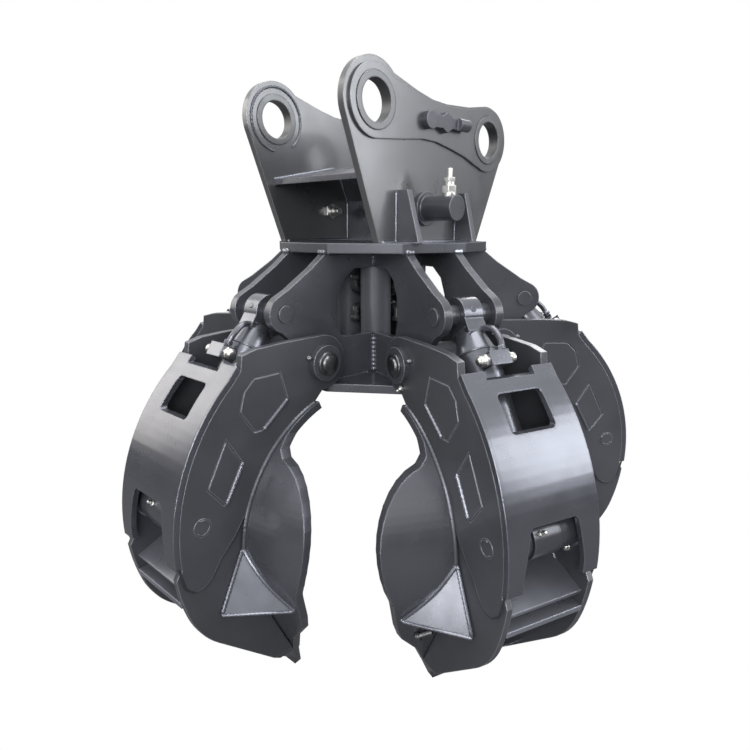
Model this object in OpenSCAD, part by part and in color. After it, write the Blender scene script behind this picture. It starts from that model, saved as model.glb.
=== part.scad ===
// Hydraulic orange-peel grapple: a two-eared pin-on head over a five-station hub,
// with four petal jaws fitted and each jaw worked by its own cylinder.
// Millimetres, +Z up. Origin: middle of the stick pin's axis, between the ears.
// +X runs along the pins, and the front jaw hangs on the -Y side.

/* [Ears] */
// Distance between the inner faces of the two ears
ear_gap = 290; // [260:1:320]
// Thickness of an ear plate
ear_t = 16; // [12:1:20]
// Thickness of the doubler on an ear's outer face
doubler_t = 6; // [4:0.5:8]
// Diameter of the stick pin bore
stick_bore_d = 80; // [65:1:90]
// Diameter of the link pin bore
link_bore_d = 80; // [65:1:86]
// Horizontal distance from the hub axis to the stick pin
stick_y = 186.5; // [170:0.5:200]
// Height of the stick pin above the flange
stick_z = 266.3; // [250:0.1:290]
// Horizontal distance from the hub axis to the link pin
link_y = 188.4; // [170:0.1:200]
// Height of the link pin above the flange
link_z = 229.1; // [215:0.1:245]
// Radius of the ear's round end at the stick pin
stick_end_r = 80; // [72:1:88]
// Radius of the ear's round end at the link pin
link_end_r = 74; // [68:1:80]
// Width of an ear where it stands on the flange
ear_foot_w = 337; // [310:1:350]
// Width of the ring left between a bore and its bush's outer edge
bush_wall = 13; // [9:0.5:15]
// How far a bush stands proud of the doubler
bush_proud = 2; // [1:0.5:4]
// Height of the saddle between the two ear ends
saddle_z = 289; // [280:1:296]

/* [Hub] */
// Corner radius of the ten-sided flange
flange_r = 250; // [240:1:262]
// Thickness of the flange
flange_t = 20; // [16:1:24]
// Corner radius of the ten-sided bottom plate
bottom_r = 264; // [258:1:272]
// Thickness of the bottom plate
bottom_t = 18; // [14:1:22]
// Height of the bottom plate's top face below the flange's top
bottom_z = 292; // [288:1:300]
// Distance between the outer faces of a pair of clevis plates
clevis_w = 138; // [130:1:142]
// Thickness of a clevis plate
clevis_t = 18; // [14:1:20]
// Distance from the hub axis to a jaw pivot
pivot_r = 275; // [268:1:280]
// Height of a jaw pivot below the flange's top
pivot_z = 239; // [234:1:244]
// Diameter of a jaw pivot pin
pivot_d = 46; // [40:1:52]
// Radius of a clevis plate's round end at the jaw pivot
clevis_end_r = 52; // [46:1:53]
// How much further out than a jaw pivot its cylinder pin sits
cyl_out = 69; // [65:1:73]
// Height of a cylinder pin below the flange's top
cyl_z = 136; // [132:1:140]
// Diameter of a cylinder pin
cyl_pin_d = 35; // [28:1:38]
// Radius of a clevis plate's round corner at the cylinder pin
cyl_end_r = 38; // [32:1:40]
// Outer diameter of the tube between a pair of clevis plates
pivot_tube_d = 76; // [66:1:84]
// Diameter of a corner post
post_d = 70; // [60:1:74]
// Distance from the hub axis to a corner post
post_r = 80; // [78:1:84]
// Diameter of the swivel body inside the posts
swivel_d = 84; // [70:1:88]

/* [Jaw] */
// Distance between the outer faces of a jaw's side plates
jaw_w = 206; // [196:1:214]
// Thickness of a side plate
side_t = 16; // [12:1:18]
// Radius of a side plate's round end at the pivot
jaw_end_r = 57; // [52:1:60]
// Distance from the jaw pivot to the rod pin
arm_l = 397.4; // [390:0.1:405]
// Angle of that line from straight down, with the jaw at rest
arm_a = 49; // [47:0.5:51]
// Distance from the rod pin's axis to the jaw's outer back
pin_cover = 57.1; // [54:0.1:62]
// Diameter of a rod pin
rod_pin_d = 36; // [30:1:40]
// Thickness of the petal sheet
shell_t = 16; // [12:1:18]
// Half the petal's greatest width
wing_w = 245; // [236:1:256]
// Half the petal's width at the lower corners
corner_w = 171; // [160:1:178]
// Half the width of the cutting edge at the tip
tip_w = 40; // [30:1:50]
// Inward slant of a wing
wing_a = 12; // [8:1:14]
// Thickness of the back cover
cover_t = 12; // [8:1:14]
// Width of the window in the back cover
window_w = 100; // [80:1:106]
// Height of that window
window_h = 60; // [48:1:64]
// Width of the lower cut-out's top edge
cutout_w = 110; // [90:1:116]
// Outer diameter of the collar on a jaw pivot pin
collar_d = 75; // [66:1:84]
// Thickness of that collar
collar_t = 12; // [8:1:14]
// Depth of the pressed lines round a side plate's panels
groove = 2.5; // [1.5:0.5:4]

/* [Cylinder] */
// Outer diameter of the barrel
barrel_d = 80; // [74:1:84]
// Bore of the barrel
barrel_bore = 63; // [56:1:66]
// Diameter of the rod
rod_d = 45; // [38:1:48]
// Distance from the cylinder pin to the barrel's gland end
barrel_l = 325; // [310:1:330]
// Width of the barrel's eye
eye_w = 43; // [38:1:48]
// Radius of the barrel's eye
eye_r = 36; // [32:1:38]
// Width of the rod's eye
rod_eye_w = 60; // [50:1:70]
// Outer radius of the rod's eye
rod_eye_r = 40; // [38:1:43]
// Clearance all round in the rod's eye
rod_eye_play = 3; // [2.5:0.1:6]

/* [Fits] */
// Radial clearance of a pin in its bore
pin_play = 0.05; // [0.02:0.01:0.1]
// Clearance between flat faces that slide past each other
face_gap = 0.4; // [0.3:0.1:1]

/* [Hidden] */
$fn = 64;
STEEL = [0.30, 0.31, 0.34];
DARK = [0.22, 0.23, 0.26];
BRIGHT = [0.75, 0.76, 0.78];
ZINC = [0.82, 0.83, 0.80];
ears_in = ear_gap / 2;
ears_out = ears_in + ear_t + doubler_t;
clevis_in = clevis_w / 2 - clevis_t;
clevis_out = clevis_w / 2;
side_out = jaw_w / 2;
side_in = side_out - side_t;
FRONT = 0;
RIGHT = 72;
REAR = 144;
LEFT = -72;
EMPTY = -144;
STATIONS = [FRONT, RIGHT, REAR, LEFT, EMPTY];

// Points in a station's own plane are [distance from the hub axis, height]
P = [pivot_r, -pivot_z];
T = [pivot_r + cyl_out, -cyl_z];
L = P + arm_l * [sin(arm_a), -cos(arm_a)];
stroke_dir = (L - T) / norm(L - T);
rest_l = norm(L - T);
cyl_tilt = atan2(stroke_dir[0], -stroke_dir[1]);

// Petal profile: two arcs and a straight run down to the tip
waist_z = P[1] - 351;
bow_r = 290;
bow_c = [P[0] - 72, waist_z];
turn_r = 170;
turn_c = bow_c + [bow_r - turn_r, 0];
turn_a = 25;
tip = P + [54, -726];
bow_a = 70;
// Back outline of a jaw: a long arc, a tighter one and a straight run
back_c = P + [-49, -298];
back_r = norm(L - back_c) + pin_cover;
back_a = 47;
heel_a = -20;
heel_r = 180;
heel_c = back_c + (back_r - heel_r) * [cos(heel_a), sin(heel_a)];
// Share of the petal's straight run above the point where the back meets it
meet_k = 0.879;

function arc(c, r, a0, a1, n) = [for (i = [0:n]) let (a = a0 + (a1 - a0) * i / n) c + r * [cos(a), sin(a)]];
function flip(p) = [for (i = [len(p) - 1:-1:0]) p[i]];
function seg_n(p, i) = let (d = p[i + 1] - p[i]) [-d[1], d[0]] / norm(d);
function miter(p, i, d) = let (n = len(p), a = seg_n(p, max(i - 1, 0)), b = seg_n(p, min(i, n - 2)),
    m = (a + b) / norm(a + b)) p[i] + m * d / (m * a);
function shifted(p, d) = [for (i = [0:len(p) - 1]) miter(p, i, d)];
// Touch point of the tangent from point p to a circle, on the side given by s
function touch(p, c, r, s) = let (d = p - c, a = atan2(d[1], d[0]), b = acos(r / norm(d)))
    c + r * [cos(a + s * b), sin(a + s * b)];

// Outer line of the petal sheet, from the top down to the tip
petal_line = concat(arc(bow_c, bow_r, bow_a, 0, 24), [for (p = arc(turn_c, turn_r, 0, -turn_a, 7)) if (p[1] < waist_z - 1) p],
    [tip]);
turn_end = petal_line[len(petal_line) - 2];
meet = turn_end + meet_k * (tip - turn_end);
heel_pt = touch(meet, heel_c, heel_r, 1);
heel_end = atan2((heel_pt - heel_c)[1], (heel_pt - heel_c)[0]);
heel_k = norm(meet - heel_pt);
heel_dir = (meet - heel_pt) / heel_k;
// Outer line of the jaw's back, from the top corner down to the heel
back_line = concat(arc(back_c, back_r, back_a, heel_a, 26), [for (i = [1:7]) heel_c + heel_r *
    [cos(heel_a + (heel_end - heel_a) * i / 7), sin(heel_a + (heel_end - heel_a) * i / 7)]]);
// Stretch of that line under the back cover
cover_line = [for (p = back_line) if (p[1] > L[1] - 84) p];

// Moves a shape from hub coordinates to the part's own origin
module at_hub() translate([0, stick_y, -stick_z]) children();
// Turns a shape to one station of the hub
module station(a) at_hub() rotate([0, 0, a]) children();
// Thickens a profile drawn in a station's plane, between two sideways places
module slab(t0, t1) translate([t1, 0, 0]) rotate([90, 0, -90]) linear_extrude(height = t1 - t0) children();
// Round bar along a station's pin direction
module bar(p, d, t0, t1) translate([t0, -p[0], p[1]]) rotate([0, 90, 0]) cylinder(d = d, h = t1 - t0);
module both() { children(); mirror([1, 0, 0]) children(); }
module ring(p, d, bore, t0, t1) difference() { bar(p, d, t0, t1); bar(p, bore, t0 - 1, t1 + 1); }
module disc(p, r) translate(p) circle(r);

// ---- Head ----
stick = [-stick_y, stick_z];
link = [link_y, link_z];
foot_a = [-ear_foot_w / 2 - 4, 0];
foot_b = [ear_foot_w / 2 - 4, 0];
// Ear outline in [Y, Z]
module ear_outline() {
    disc(stick, stick_end_r);
    disc(link, link_end_r);
    polygon(concat([foot_a, foot_b, touch(foot_b, link, link_end_r, 1), link],
        [link + link_end_r * [cos(98), sin(98)], link + [-70, saddle_z - link_z + 4],
         [38, saddle_z], [-10, saddle_z + 3], [-60, saddle_z + 14], stick + stick_end_r * [cos(46), sin(46)]],
        [stick, touch(foot_a, stick, stick_end_r, -1)]));
}
module ear_slab(x0, x1) translate([x0, 0, 0]) rotate([90, 0, 90]) linear_extrude(height = x1 - x0) children();
module x_bar(p, d, x0, x1) translate([x0, p[0], p[1]]) rotate([0, 90, 0]) cylinder(d = d, h = x1 - x0);
bush_stick_d = stick_bore_d + 2 * bush_wall;
bush_link_d = link_bore_d + 2 * bush_wall;
module ear() difference() {
    ear_slab(ears_in, ears_in + ear_t) ear_outline();
    x_bar(stick, bush_stick_d, ears_in - 1, ears_out);
    x_bar(link, bush_link_d, ears_in - 1, ears_out);
}
doubler_r = stick_end_r - 12;
doubler_r2 = link_end_r - 4;
module doubler() difference() {
    ear_slab(ears_in + ear_t, ears_out) union() {
        disc(stick, doubler_r);
        disc(link, doubler_r2);
        polygon([stick + doubler_r * [cos(-82), sin(-82)], stick + [80, -62], [-46, stick_z - 56], [0, stick_z - 58],
            [50, stick_z - 68], [105, link_z - 44], [141, link_z - 58], link + doubler_r2 * [cos(-118), sin(-118)],
            link, link + doubler_r2 * [cos(98), sin(98)], link + [-70, saddle_z - link_z],
            [38, saddle_z - 5], [-10, saddle_z - 2], [-60, saddle_z + 8],
            stick + doubler_r * [cos(46), sin(46)], stick]);
    }
    x_bar(stick, bush_stick_d, ears_in, ears_out + 1);
    x_bar(link, bush_link_d, ears_in, ears_out + 1);
}
module bush_pair(p, d, bore) difference() {
    x_bar(p, d, ears_in - bush_proud, ears_out + bush_proud);
    x_bar(p, bore, ears_in - bush_proud - 1, ears_out + bush_proud + 1);
}
module ear_near() color(STEEL) at_hub() ear();
module ear_far() color(STEEL) at_hub() mirror([1, 0, 0]) ear();
module ear_doublers() color(STEEL) at_hub() both() doubler();
module pin_bushes() color(DARK) at_hub() both() {
    bush_pair(stick, bush_stick_d, stick_bore_d);
    bush_pair(link, bush_link_d, link_bore_d);
}

// Folded cross plate between the ears, with its post on the flange
tie_t = 12;
tie_y = -stick_y - 14;
module tie_plate() color(STEEL) at_hub() {
    ear_slab(-ears_in, ears_in) polygon([[tie_y, 126], [tie_y, 138], [-22, 172], [14, 160], [40, 100], [40, 0], [28, 0],
        [28, 96], [4, 152], [-22, 160]]);
}
gusset_h = 106;
gusset_t = 14;
module ear_gusset(y, top_w, foot_w) translate([ears_in + ear_t, y + gusset_t / 2, 0]) rotate([90, 0, 0])
    linear_extrude(height = gusset_t)
        polygon([[0, 0], [foot_w, 0], [top_w, gusset_h], [0, gusset_h]]);
module ear_gussets() color(STEEL) at_hub() both() {
    ear_gusset(-115, 30, 62);
    ear_gusset(84, 26, 52);
}
// Oil port on the near ear
port = [-29, 71];
port_d = 52;
port_end = ears_in + ear_t + 86;
module port_tube() color(STEEL) at_hub() {
    x_bar(port, 72, ears_in + ear_t, ears_in + ear_t + 8);
    x_bar(port, port_d, ears_in + ear_t + 8, port_end);
}
module hub_fittings() color(ZINC) at_hub() {
    translate([port_end - 22, port[0], port[1] + port_d / 2 - 1]) {
        difference() {
            translate([0, 0, -4]) cylinder(d = 30, h = 10);
            translate([-40, 0, 1 - port_d / 2]) rotate([0, 90, 0]) cylinder(d = port_d, h = 80);
        }
        translate([0, 0, 6]) cylinder(d = 32, h = 14, $fn = 6);
        translate([0, 0, 20]) cylinder(d = 22, h = 8);
        translate([0, 0, 28]) cylinder(d = 26, h = 8, $fn = 6);
        translate([0, 0, 36]) cylinder(d = 12, h = 18);
    }
    mirror([1, 0, 0]) translate([ears_in, port[0], port[1]]) rotate([0, -90, 0]) {
        cylinder(d = 38, h = 8, $fn = 6);
        translate([0, 0, 8]) cylinder(d = 24, h = 12);
        translate([0, 0, 20]) cylinder(d = 16, h = 14);
    }
}
// Lock block across the near ear's doubler
lock_z = 248;
module lock_block() color(DARK) at_hub() {
    translate([ears_out, 0, lock_z]) {
        translate([0, -36, 0]) rotate([0, 90, 0]) cylinder(d = 36, h = 16);
        translate([0, -22, -13]) cube([14, 22, 26]);
        translate([0, 18, 0]) rotate([0, 90, 0]) cylinder(d = 42, h = 14, $fn = 6);
        translate([0, 34, -11]) cube([13, 20, 22]);
        translate([13, 54, 0]) rotate([-90, 0, 0]) cylinder(d = 26, h = 34);
    }
}

// ---- Hub ----
module flange() color(STEEL) at_hub() translate([0, 0, -flange_t]) cylinder(r = flange_r, h = flange_t, $fn = 10);
module bottom_plate() color(STEEL) at_hub() difference() {
    translate([0, 0, -bottom_z - bottom_t]) cylinder(r = bottom_r, h = bottom_t, $fn = 10);
    translate([0, 0, -bottom_z - bottom_t - 1]) cylinder(r = swivel_d / 2 + 1, h = bottom_t + 2);
}
// Radius at which neighbouring clevis plates nearly meet
clevis_root = clevis_out / tan(36) + 2;
flange_in = flange_r * cos(18);
// One clevis plate's outline, with its window beside the corner post
module clevis_outline() {
    difference() {
        union() {
            disc(T, cyl_end_r);
            disc(P, clevis_end_r);
            polygon([[clevis_root, -flange_t], [flange_in - 2, -flange_t], [flange_in + 34, -48], [flange_in + 62, -66],
                [flange_in + 96, -88], T + cyl_end_r * [cos(62), sin(62)], T, T + cyl_end_r * [cos(-20), sin(-20)],
                P + clevis_end_r * [cos(38), sin(38)], P, [P[0] - 4, -bottom_z], [clevis_root, -bottom_z]]);
        }
        translate([0, -bottom_z - 100]) square([500, 100]);
        polygon([[clevis_root - 20, -54], [clevis_root + 56, -54], [185, -76], [202, -112], [205, -164], [196, -195],
            [180, -200], [clevis_root - 20, -200]]);
    }
}
module clevis(a) station(a) difference() {
    both() slab(clevis_in, clevis_out) clevis_outline();
    bar(P, pivot_d + 2 * pin_play, -clevis_w, clevis_w);
    bar(T, cyl_pin_d + 2 * pin_play, -clevis_w, clevis_w);
    for (s = [-36, 36]) rotate([0, 0, s]) translate([0, -post_r, -bottom_z - 1])
        cylinder(d = post_d + 2 * face_gap, h = bottom_z + 2);
}
module clevis_front() color(STEEL) clevis(FRONT);
module clevis_right() color(STEEL) clevis(RIGHT);
module clevis_rear() color(STEEL) clevis(REAR);
module clevis_left() color(STEEL) clevis(LEFT);
module clevis_empty() color(STEEL) clevis(EMPTY);
module corner_posts() color(STEEL) for (a = STATIONS) station(a + 36)
    translate([0, -post_r, -bottom_z]) cylinder(d = post_d, h = bottom_z - flange_t);
module pivot_tubes() color(STEEL) for (a = STATIONS) station(a)
    ring(P, pivot_tube_d, pivot_d + 4, -clevis_in, clevis_in);
module swivel_body() color(DARK) at_hub() {
    translate([0, 0, -bottom_z - bottom_t]) cylinder(d = swivel_d, h = bottom_z + bottom_t - 60);
    for (a = STATIONS, z = [-110, -150]) rotate([0, 0, a]) translate([0, 0, z]) rotate([90, 0, 0])
        cylinder(d = 18, h = swivel_d / 2 + 14);
}
// Pins and spacers that carry the cylinders
module cylinder_pins() color(BRIGHT) for (a = [FRONT, RIGHT, REAR, LEFT]) station(a) {
    bar(T, cyl_pin_d, -clevis_out - 3, clevis_out + 3);
    both() bar(T, cyl_pin_d + 8, eye_w / 2 + face_gap, clevis_in);
}

// ---- Jaws ----
// Cheek outline, with its edge set back by the cover's thickness where the cover lies on it
inner_cover = shifted(cover_line, -cover_t);
below_cover = [for (p = back_line) if (p[1] <= L[1] - 84) p];
module cheek_outline() {
    difference() {
        union() {
            disc(P, jaw_end_r);
            polygon(concat([P, P + [0, jaw_end_r], P + [105, 55], P + [165, 51], P + [197, 43],
                inner_cover[0] + [-20, 24]], inner_cover, below_cover, [meet],
                flip([for (p = petal_line) if (p[1] > meet[1]) p]), [P + jaw_end_r * [cos(-84), sin(-84)]]));
        }
    }
}
panel_a = [for (p = [[112, 0], [174, -2], [198, -25], [209, -63], [178, -109], [158, -108], [96, -57]]) P + p];
panel_b = [for (p = [[-59, 155], [-14, 68], [-48, 26], [-58, 30], [-92, 102]]) L + p];
module panel_groove(p) difference() { polygon(p); polygon(shifted_loop(p, 3)); }
function loop_n(p, i) = let (n = len(p), d = p[(i + 1) % n] - p[i % n]) [-d[1], d[0]] / norm(d);
function shifted_loop(p, d) = [for (i = [0:len(p) - 1]) let (n = len(p), a = loop_n(p, (i + n - 1) % n), b = loop_n(p, i),
    m = (a + b) / norm(a + b)) p[i] - m * d / (m * a)];
// Lower stretch of a side plate, set in from the upper one
module low_step() polygon([for (p = [[-96, -2], [-67, -43], [-33, -78], [-13, -109], [3, -121], [22, -123],
    [40, -108], [52, -62], [126, -62], [126, -200], [-174, -500], [-274, -460], [-174, -200], [-110, -40]]) L + p]);
// Prism across a jaw that trims it to the slanted cutting edge
corner = [corner_w, P[1] - 525];
corner_in = corner - [48, 52];
module front_slab(r0, r1) translate([0, -r0, 0]) rotate([90, 0, 0]) linear_extrude(height = r1 - r0) children();
module edge_trim() front_slab(P[0] - 260, P[0] + 420)
    polygon(concat([[-corner_w - 200, 100], [corner_w + 200, 100], [corner_w + 200, corner[1]]], edge_pts,
        [for (p = flip(edge_pts)) [-p[0], p[1]]], [[-corner_w - 200, corner[1]]]));
edge_pts = [corner, corner_in, [tip_w, tip[1]]];
// s is 0 for the plate on the +X side of a jaw and 1 for the other
module side_plate(a, s) station(a) mirror([s, 0, 0]) intersection() {
    difference() {
        union() {
            slab(side_in, side_out) cheek_outline();
            bar(P, 96, clevis_out + face_gap, side_in);
        }
        bar(P, pivot_d + 2 * pin_play, 0, side_out + 1);
        bar(L, rod_pin_d + 2 * pin_play, 0, side_out + 1);
        slab(side_out - groove, side_out + 1) { panel_groove(panel_a); panel_groove(panel_b); }
        slab(side_out - 4, side_out + 1) low_step();
    }
    edge_trim();
}

// Back cover: bent sheet with a window, a lower cut-out between two legs and a notch at the top
cover_leg_z = L[1] - 65;
window_top = cover_line[0][1] - 11;
// Top of the lower cut-out, above the rod pin
cut_top = L[1] + 47;
horn = [-20, 24];
module cover(a) station(a) difference() {
    slab(-side_out, side_out) polygon(concat([cover_line[0] + horn], cover_line, flip(inner_cover),
        [inner_cover[0] + horn]));
    // notch between the horns
    front_slab(P[0] + 100, P[0] + 420) translate([-55, cover_line[0][1] + 10]) square([110, 60]);
    // window with rounded corners
    front_slab(P[0] + 100, P[0] + 420) hull() for (x = [-1, 1], z = [window_top - window_h + 9, window_top - 9])
        translate([x * (window_w / 2 - 9), z]) circle(9);
    // lower cut-out, wider at the foot
    front_slab(P[0] + 100, P[0] + 480) polygon([[-cutout_w / 2 + 8, cut_top], [cutout_w / 2 - 8, cut_top],
        [cutout_w / 2, cut_top - 8], [cutout_w / 2 + 14, cut_top - 86], [cutout_w / 2 + 14, cut_top - 206],
        [-cutout_w / 2 - 14, cut_top - 206], [-cutout_w / 2 - 14, cut_top - 86], [-cutout_w / 2, cut_top - 8]]);
    // foot of the legs
    front_slab(P[0] + 100, P[0] + 480) translate([-side_out - 1, cover_leg_z - 200]) square([jaw_w + 2, 200]);
}

// Petal sheet: a middle strip between the side plates and a slanted wing on each side
wing_c = [wing_w - 150, P[1] - 306];
wing_h = 147;
wing_h2 = 175;
wing_top = P[1] - 72;
function lobe(a) = wing_c + [150 * sin(a), (a < 90 ? wing_h : wing_h2) * cos(a)];
wing_edge = concat([[side_out + 4, wing_top], [side_out + 8, wing_c[1] + wing_h + 30], [side_out + 16, wing_c[1] + wing_h + 8]],
    [for (i = [0:11]) lobe(16 + 109 * i / 11)], [corner + [19, 40]], edge_pts);
module petal_outline() polygon(concat(wing_edge, [for (p = flip(wing_edge)) [-p[0], p[1]]]));
module sheet() polygon(concat(petal_line, flip(shifted(petal_line, -shell_t))));
// Everything on the outer side of the petal's line
module behind_petal() polygon(concat(petal_line, [[P[0] + 500, tip[1]], [P[0] + 500, petal_line[0][1]]]));
wing_pin = [P[0] + 180, 0];
module wing_frame() translate([side_in + 2, -wing_pin[0], 0]) rotate([0, 0, wing_a]) translate([-side_in - 2, wing_pin[0], 0])
    children();
module shell(a) station(a) intersection() {
    union() {
        slab(-side_in - 2, side_in + 2) sheet();
        both() intersection() {
            wing_frame() slab(side_in - 120, wing_w + 40) sheet();
            translate([side_in + 2, -P[0] - 500, tip[1] - 10]) cube([400, 700, 800]);
            difference() {
                translate([side_in, -P[0] - 500, tip[1] - 10]) cube([400, 700, 800]);
                slab(side_in, side_out) behind_petal();
            }
        }
    }
    front_slab(P[0] - 260, P[0] + 420) petal_outline();
}
// Cross plates, tip box and corner gussets inside a jaw
function on_line(z) = [for (i = [0:len(petal_line) - 2]) if (petal_line[i][1] >= z && petal_line[i + 1][1] < z)
    let (k = (petal_line[i][1] - z) / (petal_line[i][1] - petal_line[i + 1][1]))
    petal_line[i] + k * (petal_line[i + 1] - petal_line[i])][0];
function web(z, r1, z1, t) = let (a = on_line(z), b = [r1, z1], n = [-(b - a)[1], (b - a)[0]] / norm(b - a))
    [a, b, b - t * n, on_line(z - t * 1.1)];
web_r = back_c[0] + back_r - 17;
module webs(a) station(a) {
    slab(-side_in, side_in) difference() {
        union() {
            polygon(web(P[1] - 316, web_r, P[1] - 374, 10));
            polygon(web(P[1] - 396, web_r + 3, P[1] - 404, 10));
        }
        sheet();
    }
    // tip box
    intersection() {
        slab(-side_in, side_in) polygon([on_line(P[1] - 590), on_line(meet[1] + 2), meet + [4, 8],
            heel_pt + (heel_k - 170) * heel_dir + [-6, 4]]);
        edge_trim();
    }
}
gv1 = [side_out, -(P[0] + 219), P[1] - 336];
gv2 = [side_out, -(P[0] + 273), P[1] - 456];
gv3 = [side_out + 90, -(P[0] + 164), P[1] - 458];
function plane_n(a, b, c) = let (n = cross(b - a, c - a)) n / norm(n);
gn = plane_n(gv1, gv2, gv3);
module gusset(a) station(a) both() difference() {
    intersection() {
        wing_frame() slab(side_in, side_out + 120)
            polygon(concat([for (p = petal_line) if (p[1] < P[1] - 300 && p[1] > tip[1] + 1) p],
                [on_line(P[1] - 500), [P[0] + 330, P[1] - 500], [P[0] + 330, P[1] - 300]]));
        translate([side_out, -P[0] - 500, tip[1] - 10]) cube([400, 700, 800]);
    }
    translate(gv1) rotate([0, acos(gn[2]), atan2(gn[1], gn[0])]) translate([-600, -600, 0]) cube([1200, 1200, 600]);
    translate([0, -P[0] - 500, gv3[2] - 300]) cube([400, 700, 300]);
}
module pivot_pin(a) station(a) {
    bar(P, pivot_d, -side_out - collar_t, side_out + collar_t);
    both() ring(P, collar_d, pivot_d, side_out, side_out + collar_t);
    both() bar(P, pivot_d - 14, side_out + collar_t, side_out + collar_t + 4);
}
module rod_pin(a) station(a) {
    bar(L, rod_pin_d, -side_out - 1, side_out + 1);
    both() bar(L, rod_pin_d + 22, rod_eye_w / 2 + face_gap, side_in);
}

// ---- Cylinders ----
// Puts a shape drawn along -Z from the cylinder pin onto a station's cylinder line
module cyl_frame(a) station(a) translate([0, -T[0], T[1]]) rotate([-cyl_tilt, 0, 0]) children();
module down(z0, z1, d1, d2) translate([0, 0, -z1]) cylinder(d1 = d2, d2 = d1, h = z1 - z0);
neck_l = 34;
cap_l = 50;
bottom_l = 96;
module barrel(a) color(STEEL) cyl_frame(a) difference() {
    union() {
        rotate([0, 90, 0]) translate([0, 0, -eye_w / 2]) cylinder(r = eye_r, h = eye_w);
        translate([-eye_w / 2, -eye_r + 6, -neck_l - 12]) cube([eye_w, 2 * eye_r - 12, neck_l + 12]);
        down(neck_l, neck_l + cap_l, 52, barrel_d);
        down(neck_l + cap_l, barrel_l - 30, barrel_d, barrel_d);
        down(barrel_l - 30, barrel_l, barrel_d + 8, barrel_d + 8);
    }
    rotate([0, 90, 0]) translate([0, 0, -eye_w]) cylinder(d = cyl_pin_d + 2 * pin_play, h = 2 * eye_w);
    down(bottom_l, barrel_l - 30, barrel_bore, barrel_bore);
    down(bottom_l, barrel_l + 1, rod_d + 2 * pin_play, rod_d + 2 * pin_play);
}
// Piston end of the rod at rest, leaving room for the whole stroke
piston_z = 158;
module rod(a) color(BRIGHT) cyl_frame(a) difference() {
    union() {
        down(piston_z, rest_l - rod_eye_r + 6, rod_d, rod_d);
        down(piston_z, piston_z + 24, barrel_bore - 1, barrel_bore - 1);
        translate([-rod_eye_w / 2, 0, -rest_l]) rotate([0, 90, 0]) cylinder(r = rod_eye_r, h = rod_eye_w);
    }
    translate([-rod_eye_w, 0, -rest_l]) rotate([0, 90, 0])
        cylinder(r = rod_pin_d / 2 + rod_eye_play, h = 2 * rod_eye_w);
}
// Port block and its two unions on the barrel
block_z = 102;
block_l = 28;
block_w = 44;
block_out = barrel_d / 2 + 29;
module ports(a) cyl_frame(a) {
    color(STEEL) difference() {
        translate([-block_w / 2, -block_out, -block_z - block_l]) cube([block_w, block_out - barrel_d / 4, block_l]);
        down(0, barrel_l, barrel_d, barrel_d);
    }
    color(ZINC) translate([block_w / 2, -block_out + block_l / 2, -block_z - block_l / 2]) rotate([0, 90, 0]) cylinder(d = 18, h = 16);
    color(ZINC) translate([-block_w / 2, -block_out + block_l / 2, -block_z - block_l / 2]) rotate([0, -90, 0]) cylinder(d = 16, h = 9);
}

module jaw_front_near() color(STEEL) side_plate(FRONT, 0);
module jaw_front_far() color(STEEL) side_plate(FRONT, 1);
module jaw_front_cover() color(STEEL) cover(FRONT);
module jaw_front_shell() color(STEEL) shell(FRONT);
module jaw_front_webs() color(DARK) { webs(FRONT); gusset(FRONT); }
module jaw_front_pivot_pin() color(BRIGHT) pivot_pin(FRONT);
module jaw_front_rod_pin() color(BRIGHT) rod_pin(FRONT);
module cyl_front_barrel() barrel(FRONT);
module cyl_front_ports() ports(FRONT);
module cyl_front_rod() rod(FRONT);
module jaw_right_near() color(STEEL) side_plate(RIGHT, 0);
module jaw_right_far() color(STEEL) side_plate(RIGHT, 1);
module jaw_right_cover() color(STEEL) cover(RIGHT);
module jaw_right_shell() color(STEEL) shell(RIGHT);
module jaw_right_webs() color(DARK) { webs(RIGHT); gusset(RIGHT); }
module jaw_right_pivot_pin() color(BRIGHT) pivot_pin(RIGHT);
module jaw_right_rod_pin() color(BRIGHT) rod_pin(RIGHT);
module cyl_right_barrel() barrel(RIGHT);
module cyl_right_ports() ports(RIGHT);
module cyl_right_rod() rod(RIGHT);
module jaw_rear_near() color(STEEL) side_plate(REAR, 0);
module jaw_rear_far() color(STEEL) side_plate(REAR, 1);
module jaw_rear_cover() color(STEEL) cover(REAR);
module jaw_rear_shell() color(STEEL) shell(REAR);
module jaw_rear_webs() color(DARK) { webs(REAR); gusset(REAR); }
module jaw_rear_pivot_pin() color(BRIGHT) pivot_pin(REAR);
module jaw_rear_rod_pin() color(BRIGHT) rod_pin(REAR);
module cyl_rear_barrel() barrel(REAR);
module cyl_rear_ports() ports(REAR);
module cyl_rear_rod() rod(REAR);
module jaw_left_near() color(STEEL) side_plate(LEFT, 0);
module jaw_left_far() color(STEEL) side_plate(LEFT, 1);
module jaw_left_cover() color(STEEL) cover(LEFT);
module jaw_left_shell() color(STEEL) shell(LEFT);
module jaw_left_webs() color(DARK) { webs(LEFT); gusset(LEFT); }
module jaw_left_pivot_pin() color(BRIGHT) pivot_pin(LEFT);
module jaw_left_rod_pin() color(BRIGHT) rod_pin(LEFT);
module cyl_left_barrel() barrel(LEFT);
module cyl_left_ports() ports(LEFT);
module cyl_left_rod() rod(LEFT);

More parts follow.
